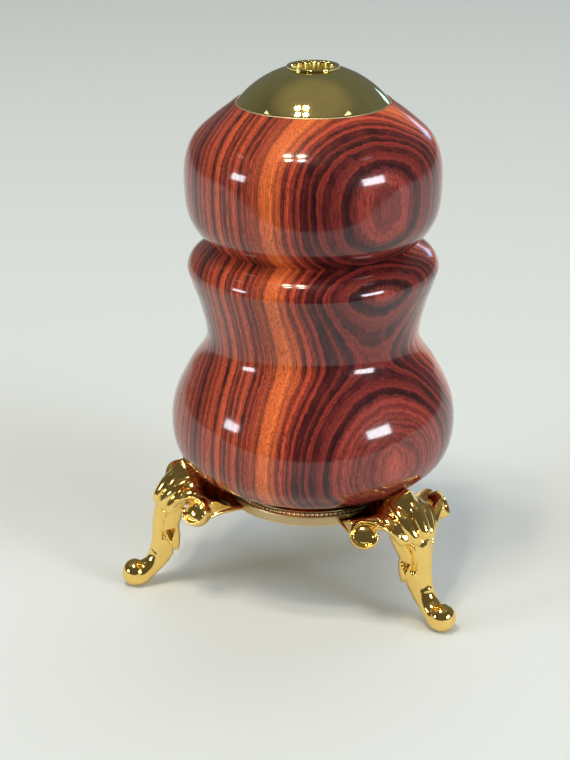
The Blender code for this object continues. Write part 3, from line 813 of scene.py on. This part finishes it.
# Shank and foot: (distance from the axis, height, half width, half depth) down the leg.
SHANK = (
    (26.9, 18.4, 3.4, 1.7),
    (28.4, 16.2, 3.0, 1.9),
    (28.95, 13.8, 2.6, 1.95),
    (29.2, 11.4, 2.35, 1.95),
    (29.35, 9.0, 2.2, 1.95),
    (29.9, 6.7, 2.1, 1.95),
    (31.3, 4.7, 2.05, 1.85),
    (33.0, 3.2, 2.2, 2.0),
    (34.6, 2.45, 2.5, 2.5),
    (35.9, 2.45, 2.3, 2.3),
    (36.8, 2.5, 1.5, 1.5),
    (37.2, 2.5, 0.6, 0.6),
)
SHANK_SIDES = 36
SHANK_KEEL = 0.33  # how far the front ridge stands out, as a share of the half depth
SHANK_SQUARENESS = 0.72  # power of the section's ellipse above the foot
FOOT_Z = 4.0
FOOT_BLEND = 2.0  # height above the foot over which the shank takes on its own section
TOE_BALL = ((35.45, 0.0, 2.6), (2.4, 2.6, 2.65))  # centre and radii

# Forms on each side of the leg, as stations of (x, y, z, half width, half thickness).
BROAD_BLADE = (
    (27.2, 4.7, 18.3, 1.3, 0.8),
    (28.2, 3.5, 16.0, 1.9, 0.9),
    (28.7, 2.6, 13.4, 1.9, 0.9),
    (28.3, 2.6, 11.0, 1.65, 0.9),
    (27.8, 2.5, 9.3, 1.1, 0.8),
    (27.4, 2.4, 7.8, 0.35, 0.4),
)
SMALL_BLADE = (
    (29.8, 2.0, 11.4, 1.0, 0.5),
    (29.5, 1.8, 9.4, 1.3, 0.7),
    (28.9, 1.7, 7.7, 1.0, 0.7),
    (28.3, 1.6, 6.3, 0.3, 0.3),
)
BLADE_FORWARD = 0.35  # how far the blades look forward, for each part that they look sideways
# Crease pressed into each side between the blade and the shank, as (x, z) points.
CREASE = ((29.6, 16.4), (30.15, 14.0), (30.2, 12.0), (30.0, 10.6))
CREASE_HALF_WIDTH = 0.45
CREASE_DEPTH = 0.8
# Facet cut into each blade, which looks upward: its (x, z) corners, the last one the lower tip.
FACET = ((27.8, 12.9), (29.7, 12.4), (28.5, 9.4))
FACET_TIP_Y = 3.15  # the tip's distance from the leg's middle plane
FACET_SLOPE = 0.5
FACET_EDGE = 0.2  # width over which it starts
MIDDLE_STRIP = 0.8  # the crease and facet keep this far from the leg's middle plane
FLANGE_RIM = (
    (15.3, 7.3, 17.7, 0.40, 0.40),
    (18.4, 8.9, 18.1, 0.42, 0.42),
    (21.0, 10.0, 18.1, 0.45, 0.45),
    (22.2, 10.5, 17.7, 0.40, 0.40),
)
# The scroll's rim rises from the shank's front, then curls round a button.
SCROLL_RIM = (
    (28.8, 3.0, 15.4, 0.40, 0.40),
    (28.4, 4.3, 17.5, 0.75, 0.55),
    (27.5, 5.9, 19.4, 0.95, 0.50),
    (26.2, 7.7, 20.7, 1.15, 0.45),
)
VOLUTE_CENTRE = (24.6, 9.7, 18.7)
VOLUTE_FACING = 42.0  # degrees from the leg's own direction towards its side
VOLUTE_TILT = 30.0  # degrees that it looks up
VOLUTE_START = 100.0  # degrees
VOLUTE_TURN = 290.0
VOLUTE_STEPS = 24
VOLUTE_RADIUS = 2.65
VOLUTE_END_RADIUS = 2.25
VOLUTE_BAND = (1.25, 0.42)  # half width and half thickness of the band that curls
VOLUTE_HEIGHT = 0.94  # the scroll's height as a share of its width
BUTTON_RADII = (2.2, 0.95)  # across, and towards the viewer


def swept(bm, stations, facing, sides=14, per_span=6):
    """A closed tube of elliptic section through stations of (x, y, z, half width, half
    thickness). facing(point) is the direction that its flat side looks in."""
    stations = smooth_through(stations, per_span)
    path = [Vector(station[:3]) for station in stations]
    sections = []
    for i, (point, station) in enumerate(zip(path, stations)):
        along = direction_at(path, i)
        out = facing(point)
        out = (out - along * out.dot(along)).normalized()
        across = along.cross(out)
        section = []
        for k in range(sides):
            angle = math.tau * k / sides
            offset = across * math.cos(angle) * station[3] + out * math.sin(angle) * station[4]
            section.append(point + offset)
        sections.append(section)
    add_loft(bm, sections)


def mirrored(stations, side):
    """The stations on one side of the leg; side is 1 or -1."""
    return [(x, side * y, *rest) for x, y, *rest in stations]


def from_knee(point):
    """Outward from the line that the lobes' surface bends round."""
    return point - Vector((KNEE_BEND[0], point.y * KNEE_SPLAY, KNEE_BEND[1]))


def add_knee(bm):
    """The broad top of the leg: radial sections that fan out from its middle to two flanges."""
    middle = smooth_through(KNEE_MIDDLE, 4)
    side = smooth_through(KNEE_SIDE, 4)
    fans = smooth_through(KNEE_FANS, 4)
    sections = []
    for angle, share in [(-angle, share) for angle, share in fans[:0:-1]] + [*map(tuple, fans)]:
        turn = math.radians(angle)
        section = []
        for inward, outward in zip(middle, side):
            radius, height = inward.lerp(outward, share)
            section.append((radius * math.cos(turn), radius * math.sin(turn), height))
        sections.append(section)
    add_loft(bm, sections)


def add_shank(bm):
    """The shank and foot, with a keel down its front, and the ball of the toe."""
    stations = smooth_through(SHANK, 6)
    path = [Vector((station[0], 0, station[1])) for station in stations]
    sections = []
    for i, station in enumerate(stations):
        outward = Vector((0, 1, 0)).cross(direction_at(path, i))
        above = min(1.0, max(0.0, (station[1] - FOOT_Z) / FOOT_BLEND))
        power = 1 + (SHANK_SQUARENESS - 1) * above
        section = []
        for k in range(SHANK_SIDES):
            angle = math.tau * k / SHANK_SIDES
            c, s = math.cos(angle), math.sin(angle)
            ridge = 1 + SHANK_KEEL * above * max(0, c) ** 8
            depth = math.copysign(abs(c) ** power, c) * station[3] * ridge
            width = math.copysign(abs(s) ** power, s) * station[2]
            section.append(path[i] - outward * depth + Vector((0, width, 0)))
        sections.append(section)
    add_loft(bm, sections)
    ball = bmesh.ops.create_uvsphere(bm, u_segments=40, v_segments=24, radius=1.0)
    bmesh.ops.scale(bm, vec=TOE_BALL[1], verts=ball["verts"])
    bmesh.ops.translate(bm, vec=TOE_BALL[0], verts=ball["verts"])


def add_volute(bm, side):
    """The rim's curl and the domed button in its eye."""
    turn = math.radians(VOLUTE_FACING)
    tilt = math.radians(VOLUTE_TILT)
    ahead = Vector((math.cos(turn), side * math.sin(turn), 0))
    facing = ahead * math.cos(tilt) + Vector((0, 0, math.sin(tilt)))
    level = Vector((-math.sin(turn), side * math.cos(turn), 0))
    up = facing.cross(level) * side * VOLUTE_HEIGHT
    x, y, z = VOLUTE_CENTRE
    centre = Vector((x, side * y, z))
    curl = []
    for i in range(VOLUTE_STEPS + 1):
        share = i / VOLUTE_STEPS
        angle = math.radians(VOLUTE_START - VOLUTE_TURN * share)
        radius = VOLUTE_RADIUS + (VOLUTE_END_RADIUS - VOLUTE_RADIUS) * share
        offset = level * math.cos(angle) + up * math.sin(angle)
        curl.append((*(centre + offset * radius), *VOLUTE_BAND))
    rise = mirrored(SCROLL_RIM, side)
    swept(bm, rise + curl, lambda point: facing.cross(point - centre).cross(facing), 16, 4)
    button = bmesh.ops.create_uvsphere(bm, u_segments=40, v_segments=24, radius=1.0)
    across, towards = BUTTON_RADII
    frame_axes = Matrix((level * across, up * across, facing * towards)).transposed()
    shape = Matrix.Translation(centre) @ frame_axes.to_4x4()
    bmesh.ops.transform(bm, matrix=shape, verts=button["verts"])


def leg_forms():
    """The leg's overlapping forms in one bmesh."""
    bm = bmesh.new()
    add_knee(bm)
    add_shank(bm)
    add_lug(bm)
    swept(bm, MIDDLE_LOBE, from_knee)
    for side in (-1, 1):
        outward = Vector((BLADE_FORWARD, side, 0))
        for lobe in (INNER_LOBE, OUTER_LOBE):
            swept(bm, mirrored(lobe, side), from_knee)
        for blade in (BROAD_BLADE, SMALL_BLADE):
            swept(bm, mirrored(blade, side), lambda point: outward)
        swept(bm, mirrored(FLANGE_RIM, side), lambda point: Vector((0, 0, 1)), 10)
        add_volute(bm, side)
    return bm


def faces_out(vert, least):
    """Whether a vertex is on the leg's side and looks outward."""
    return abs(vert.co.y) >= MIDDLE_STRIP and vert.normal.y * vert.co.y >= least


def cut_facet(bm):
    """Cuts each blade back to a sloping plane inside the facet's triangle."""
    points = [Vector(corner) for corner in FACET]
    edges = list(zip(points, points[1:] + points[:1]))
    for vert in bm.verts:
        if not faces_out(vert, 0.1):
            continue
        here = Vector((vert.co.x, vert.co.z))
        from_edges = []
        for start, end in edges:
            along = (end - start).normalized()
            from_edges.append((here - start).dot(Vector((along.y, -along.x))))
        inside = min(from_edges)
        excess = abs(vert.co.y) - (FACET_TIP_Y - FACET_SLOPE * (here.y - points[2].y))
        if inside > 0 and excess > 0:
            vert.co.y -= math.copysign(excess * min(1.0, inside / FACET_EDGE), vert.co.y)


def press_crease(bm):
    """Presses the crease between the blade and the shank into the leg's sides."""
    path = smooth_through(CREASE, 8)
    for vert in bm.verts:
        if not faces_out(vert, 0.2):
            continue
        here = Vector((vert.co.x, vert.co.z))
        away = min((here - point).length for point in path)
        if away < CREASE_HALF_WIDTH:
            vert.co -= vert.normal * CREASE_DEPTH * (1.0 - away / CREASE_HALF_WIDTH)


def leg_casting():
    """One cast leg as a mesh in millimetres: its forms melted together, smoothed a little,
    creased and faceted, pushed clear of the wood and the ring, and cut flat at the floor."""
    bm = leg_forms()
    bmesh.ops.recalc_face_normals(bm, faces=bm.faces)
    mesh = bpy.data.meshes.new("leg_forms")
    bm.to_mesh(mesh)
    bm.free()
    obj = bpy.data.objects.new("leg_forms", mesh)
    bpy.context.scene.collection.objects.link(obj)
    remesh = obj.modifiers.new("melt", "REMESH")
    remesh.mode = "VOXEL"
    remesh.voxel_size = VOXEL
    smooth = obj.modifiers.new("cast", "SMOOTH")
    smooth.factor = 0.5
    smooth.iterations = 4
    graph = bpy.context.evaluated_depsgraph_get()
    cast = bpy.data.meshes.new_from_object(obj.evaluated_get(graph))
    bpy.data.objects.remove(obj)
    bm = bmesh.new()
    bm.from_mesh(cast)
    bm.normal_update()
    press_crease(bm)
    cut_facet(bm)
    clear_of_wood(bm)
    bm.to_mesh(cast)
    bm.free()
    return cast


def lug_loop(height, inner):
    """A level loop of the lug: its outline, or the edge of its screw hole."""
    steps = 48
    loop = []
    for i in range(steps):
        angle = math.tau * i / steps
        c, s = math.cos(angle), math.sin(angle)
        reach = LEG_SCREW_RADIUS + GAP
        if not inner:
            to_side = LUG_HALF_WIDTH / max(abs(s), 1e-6)
            to_end = (LUG_OUTER - LEG_SCREW_FROM_AXIS) / max(c, 1e-6)
            reach = min(to_side, to_end) if c > 0 else LUG_HALF_WIDTH
        loop.append((LEG_SCREW_FROM_AXIS + reach * c, reach * s, height))
    return loop


def add_lug(bm):
    """The tab that reaches in under the ring's plate and takes the screw."""
    bottom = LUG_TOP_Z - LUG_HEIGHT
    loops = [
        lug_loop(bottom, False),
        lug_loop(LUG_TOP_Z, False),
        lug_loop(LUG_TOP_Z, True),
        lug_loop(bottom, True),
    ]
    add_loft(bm, loops, closed=True)


def clear_of_wood(bm):
    """Moves what lies inside the wood's clearance out to it, and keeps the leg off the ring."""
    outline = [Vector(point) for point in wood_outline(6) if point[1] < LEG_FREE_Z]
    grown = []
    for before, here, after in zip(outline, outline[1:], outline[2:]):
        along = (after - before).normalized()
        grown.append(here + Vector((along.y, -along.x)) * LEG_TO_WOOD)
    # The lug and what else lies below the ring's top or the plate is left where it is.
    wood_from = RING_TOP_Z - 0.5
    ring_from = LUG_TOP_Z + 0.05
    for vert in bm.verts:
        radius = math.hypot(vert.co.x, vert.co.y)
        point = Vector((radius, vert.co.z))
        near = min(range(len(grown)), key=lambda i: (grown[i] - point).length_squared)
        here = grown[near]
        along = direction_at(grown, near)
        out = Vector((along.y, -along.x))
        depth = (point - here).dot(out)
        if depth < 0 and vert.co.z > wood_from:
            point = point - out * depth
        if point.x < RING_RADIUS + GAP and point.y > ring_from:
            point.x = RING_RADIUS + GAP
        if radius > 0:
            vert.co.x *= point.x / radius
            vert.co.y *= point.x / radius
        vert.co.z = max(point.y, 0.0)


def leg_piece(name, angle, cast):
    """A leg turned to its place."""
    bm = bmesh.new()
    bm.from_mesh(cast)
    bmesh.ops.rotate(bm, verts=bm.verts, cent=(0, 0, 0), matrix=Matrix.Rotation(angle, 3, "Z"))
    return new_object(f"cast_{name}", bm, 80)


# ------------------------------------------------------------------------------ stage and view


def add_camera():
    """The camera at the photograph's place, aimed as its horizon and framing ask."""
    elevation = math.radians(CAMERA_ELEVATION)
    yaw = Matrix.Rotation(math.radians(CAMERA_YAW), 3, "Z")
    azimuth = Matrix.Rotation(math.radians(CAMERA_AZIMUTH), 3, "Z")
    roll = math.radians(CAMERA_ROLL)
    place = Vector((0, -math.cos(elevation), math.sin(elevation))) * CAMERA_DISTANCE
    place.z += CAMERA_AIM_Z
    forward = yaw @ Vector((0, math.cos(elevation), -math.sin(elevation)))
    right = forward.cross(Vector((0, 0, 1))).normalized()
    up = right.cross(forward)
    rolled_right = right * math.cos(roll) + up * math.sin(roll)
    rolled_up = -right * math.sin(roll) + up * math.cos(roll)
    turned_axes = [azimuth @ axis for axis in (rolled_right, rolled_up, -forward)]
    data = bpy.data.cameras.new("camera")
    data.sensor_width = SENSOR
    data.lens = FOCAL_PIXELS * SENSOR / IMAGE_HEIGHT
    data.clip_start = 0.01
    data.clip_end = 20.0
    camera = bpy.data.objects.new("camera", data)
    matrix = Matrix(turned_axes).transposed().to_4x4()
    matrix.translation = (azimuth @ place) * MM + Vector((0, AXIS_Y * MM, 0))
    camera.matrix_world = matrix
    bpy.context.scene.collection.objects.link(camera)
    bpy.context.scene.camera = camera


def direction(azimuth, elevation):
    """A unit vector towards a place: azimuth 0 is the front (-Y), 90 is +X."""
    a = math.radians(azimuth)
    e = math.radians(elevation)
    return Vector((math.sin(a) * math.cos(e), -math.cos(a) * math.cos(e), math.sin(e)))


def add_lamp(name, azimuth, elevation, distance, size, power, colour, mirrored_too=True):
    """An area lamp that faces the object. It isn't seen by the camera, only in reflections."""
    data = bpy.data.lights.new(name, "AREA")
    data.shape = "RECTANGLE" if len(size) == 2 else "DISK"
    data.size = size[0]
    if len(size) == 2:
        data.size_y = size[1]
    data.energy = power
    data.color = colour
    lamp = bpy.data.objects.new(name, data)
    away = direction(azimuth, elevation)
    lamp.location = Vector((0, AXIS_Y * MM, LAMPS_AIM_Z)) + away * distance
    lamp.rotation_euler = away.to_track_quat("Z", "Y").to_euler()
    lamp.visible_camera = False
    lamp.visible_glossy = mirrored_too
    bpy.context.scene.collection.objects.link(lamp)


def add_lights():
    """Two windows, two panes and a strip behind, four small warm lamps above, and broad soft
    fills that don't show in the polish."""
    for window in WINDOWS:
        add_lamp(*window)
    for i, (azimuth, elevation) in enumerate(CEILING_LAMPS):
        add_lamp(f"ceiling_lamp_{i + 1}", azimuth, elevation, *CEILING_LAMP)
    for fill in FILLS:
        add_lamp(*fill, mirrored_too=False)


def add_world():
    """A dim room, a little paler behind, with a greyish ceiling."""
    world = bpy.data.worlds.new("room")
    nodes = Nodes(world, "Background")
    towards = nodes.add("ShaderNodeTexCoord").outputs["Generated"]
    split = nodes.add("ShaderNodeSeparateXYZ", ((0, towards),)).outputs
    back = nodes.spread(split["Y"], *FRONT_TO_BACK, kind="SMOOTHSTEP")
    walls = nodes.mix(back, FRONT_WALLS, BACK_WALLS)
    above = nodes.spread(split["Z"], *WALLS_TO_CEILING, kind="SMOOTHSTEP")
    nodes.set(Color=nodes.mix(above, walls, CEILING), Strength=1.0)
    bpy.context.scene.world = world


def add_floor():
    """The plain pale floor, with the table's dark top beyond the cloth in reflections."""
    bm = bmesh.new()
    bmesh.ops.create_circle(bm, cap_ends=True, radius=FLOOR_RADIUS, segments=96)
    mesh = bpy.data.meshes.new("floor")
    bm.to_mesh(mesh)
    bm.free()
    floor = bpy.data.objects.new("floor", mesh)
    bpy.context.scene.collection.objects.link(floor)
    nodes = Nodes(bpy.data.materials.new("pale_floor"))
    towards = tuple(direction(CAMERA_AZIMUTH, 0))
    ahead = nodes.vector("DOT_PRODUCT", nodes.millimetres(), towards, "Value")
    beyond = nodes.spread(ahead, CLOTH_EDGE - CLOTH_EDGE_BLUR, CLOTH_EDGE + CLOTH_EDGE_BLUR)
    seen = nodes.add("ShaderNodeLightPath").outputs["Is Camera Ray"]
    beyond = nodes.math("MULTIPLY", beyond, nodes.math("SUBTRACT", 1.0, seen))
    nodes.set(Base_Color=nodes.mix(beyond, CLOTH, TABLE), Roughness=0.9)
    nodes.set(Specular_IOR_Level=0.1)
    mesh.materials.append(nodes.owner)


def dress(piece, made_of, slot, *nodes):
    """Gives a piece its material and lets it stand for its CAD nodes."""
    piece.data.materials.clear()
    piece.data.materials.append(made_of)
    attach(piece, "root")
    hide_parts(*nodes)


def recolour(node, made_of):
    """A better material on a CAD node whose shape is right."""
    for material_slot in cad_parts[node].material_slots:
        material_slot.material = made_of


def build():
    """Dresses the frame."""
    gold = metal("gold_plate", GOLD, roughness=0.09, spots=0.06, bump=0.10).owner
    steel = metal("zinc_steel", ZINC, roughness=0.30).owner
    brass = metal("polished_brass", BRASS, roughness=0.055, spots=0.08, bump=0.02).owner
    dress(turned_wood(), rosewood(), "rosewood", "wood_body")
    dress(dome_shell(), dome_brass(), "polished_brass", "brass_dome")
    dress(fluted_bush(), bush_brass(), "polished_brass", "pen_bush")
    dress(ring_band(), ring_gold(), "gold_plate", "stand_ring")
    cast = leg_casting()
    for leg, angle in LEG_ANGLES.items():
        dress(leg_piece(leg, math.radians(angle), cast), gold, "gold_plate", leg)
        recolour(leg.replace("leg_", "leg_screw_"), steel)
    recolour("liner_tube", brass)
    recolour("nib_pad", felt())
    recolour("clamp_washer", steel)
    recolour("centre_screw", steel)


add_camera()
add_floor()
add_lights()
add_world()
build()
bpy.context.scene.view_settings.view_transform = "Standard"
